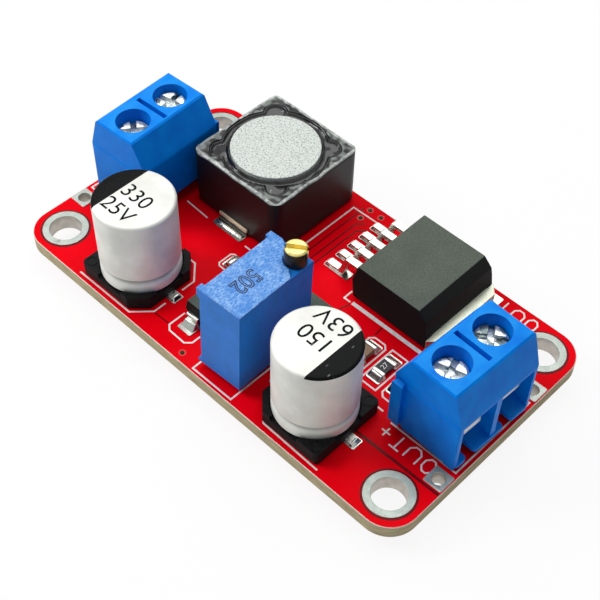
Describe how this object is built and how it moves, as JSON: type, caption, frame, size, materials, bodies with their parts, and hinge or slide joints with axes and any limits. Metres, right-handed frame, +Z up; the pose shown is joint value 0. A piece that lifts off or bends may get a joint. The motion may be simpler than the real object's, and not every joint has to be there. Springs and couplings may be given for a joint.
{
  "type": "boost converter module",
  "caption": "Small red circuit board that raises a direct voltage, with blue screw terminals at both ends, a shielded inductor, a regulator, a trimmer and can capacitors.",
  "frame": {"origin": "centre of the rectangle of mounting holes, on the underside of the board", "axes": "+X along the board from the input terminal to the output terminal, +Z up out of the board"},
  "size_m": [0.0504, 0.028, 0.0153],
  "materials": {
    "solder_mask": "glossy red mask over tan laminate",
    "tinned_copper": "tinned",
    "solder": "satin",
    "terminal_plastic": "satin blue",
    "plated_steel": "plated",
    "screw_steel": "bright zinc",
    "ferrite": "matte black",
    "ferrite_core": "ground pale grey",
    "copper_wire": "enamelled",
    "potting_glue": "glossy black",
    "moulding_compound": "matte grey-black",
    "can_aluminium": "satin",
    "base_plastic": "matte black",
    "trimmer_plastic": "matte blue",
    "screw_brass": "bright",
    "resistor_glaze": "glossy black",
    "chip_ceramic": "matte tan"
  },
  "bodies": {
    "board": {"pcb": "solder_mask", "mounting_rings": "tinned_copper", "wire_pads": "tinned_copper", "solder_lands": "tinned_copper", "solder_joints": "solder", "inductor_shield": "ferrite", "inductor_core": "ferrite_core", "inductor_winding": "copper_wire", "inductor_glue": "potting_glue", "inductor_clips": "tinned_copper", "regulator_body": "moulding_compound", "regulator_tab": "tinned_copper", "regulator_leads": "tinned_copper", "input_capacitor_can": "can_aluminium", "input_capacitor_base": "base_plastic", "input_capacitor_leads": "tinned_copper", "output_capacitor_can": "can_aluminium", "output_capacitor_base": "base_plastic", "output_capacitor_leads": "tinned_copper", "trimmer_housing": "trimmer_plastic", "trimmer_pins": "tinned_copper", "protection_diode_body": "moulding_compound", "protection_diode_leads": "tinned_copper", "rectifier_diode_body": "moulding_compound", "rectifier_diode_leads": "tinned_copper", "chip_resistor_body": "resistor_glaze", "chip_resistor_ends": "tinned_copper", "chip_capacitor_bodies": "chip_ceramic", "chip_capacitor_ends": "tinned_copper", "output_terminal_housing": "terminal_plastic", "output_contact_frames": "plated_steel", "input_terminal_housing": "terminal_plastic", "input_contact_frames": "plated_steel"},
    "output_clamp_plate_1": {"output_clamp_plate_1": "plated_steel"},
    "output_clamp_screw_1": {"output_clamp_screw_1": "screw_steel"},
    "output_clamp_plate_2": {"output_clamp_plate_2": "plated_steel"},
    "output_clamp_screw_2": {"output_clamp_screw_2": "screw_steel"},
    "input_clamp_plate_1": {"input_clamp_plate_1": "plated_steel"},
    "input_clamp_screw_1": {"input_clamp_screw_1": "screw_steel"},
    "input_clamp_plate_2": {"input_clamp_plate_2": "plated_steel"},
    "input_clamp_screw_2": {"input_clamp_screw_2": "screw_steel"},
    "trimmer_screw": {"trimmer_screw": "screw_brass"}
  },
  "joints": [
    {"name": "output_clamp_1_slide", "type": "slide", "parent": "board", "child": "output_clamp_plate_1", "axis": [0, 0, -1], "range_m": [-0.00045, 0.00175]},
    {"name": "output_screw_1_turn", "type": "hinge", "parent": "output_clamp_plate_1", "child": "output_clamp_screw_1", "pos_m": [0.02083, -0.00273, 0.008], "axis": [0, 0, -1], "range_deg": [-504, 1440]},
    {"name": "output_clamp_2_slide", "type": "slide", "parent": "board", "child": "output_clamp_plate_2", "axis": [0, 0, -1], "range_m": [-0.0001, 0.0021]},
    {"name": "output_screw_2_turn", "type": "hinge", "parent": "output_clamp_plate_2", "child": "output_clamp_screw_2", "pos_m": [0.02107, 0.00235, 0.008], "axis": [0, 0, -1], "range_deg": [-252, 1692]},
    {"name": "input_clamp_1_slide", "type": "slide", "parent": "board", "child": "input_clamp_plate_1", "axis": [0, 0, -1], "range_m": [-0.0003, 0.0019]},
    {"name": "input_screw_1_turn", "type": "hinge", "parent": "input_clamp_plate_1", "child": "input_clamp_screw_1", "pos_m": [-0.02053, 0.00295, 0.008], "axis": [0, 0, -1], "range_deg": [-396, 1548]},
    {"name": "input_clamp_2_slide", "type": "slide", "parent": "board", "child": "input_clamp_plate_2", "axis": [0, 0, -1], "range_m": [-0.0011, 0.0011]},
    {"name": "input_screw_2_turn", "type": "hinge", "parent": "input_clamp_plate_2", "child": "input_clamp_screw_2", "pos_m": [-0.02027, -0.00213, 0.008], "axis": [0, 0, -1], "range_deg": [-972, 972]},
    {"name": "trimmer_screw_turn", "type": "hinge", "parent": "board", "child": "trimmer_screw", "pos_m": [0.00389, -0.00401, 0.01182], "axis": [-0.0015, 0.0349, 0.9994], "continuous": true}
  ],
  "couplings": [
    {"joint": "output_screw_1_turn", "follows": "output_clamp_1_slide", "rad_per_m": 12566},
    {"joint": "output_screw_2_turn", "follows": "output_clamp_2_slide", "rad_per_m": 12566},
    {"joint": "input_screw_1_turn", "follows": "input_clamp_1_slide", "rad_per_m": 12566},
    {"joint": "input_screw_2_turn", "follows": "input_clamp_2_slide", "rad_per_m": 12566}
  ]
}
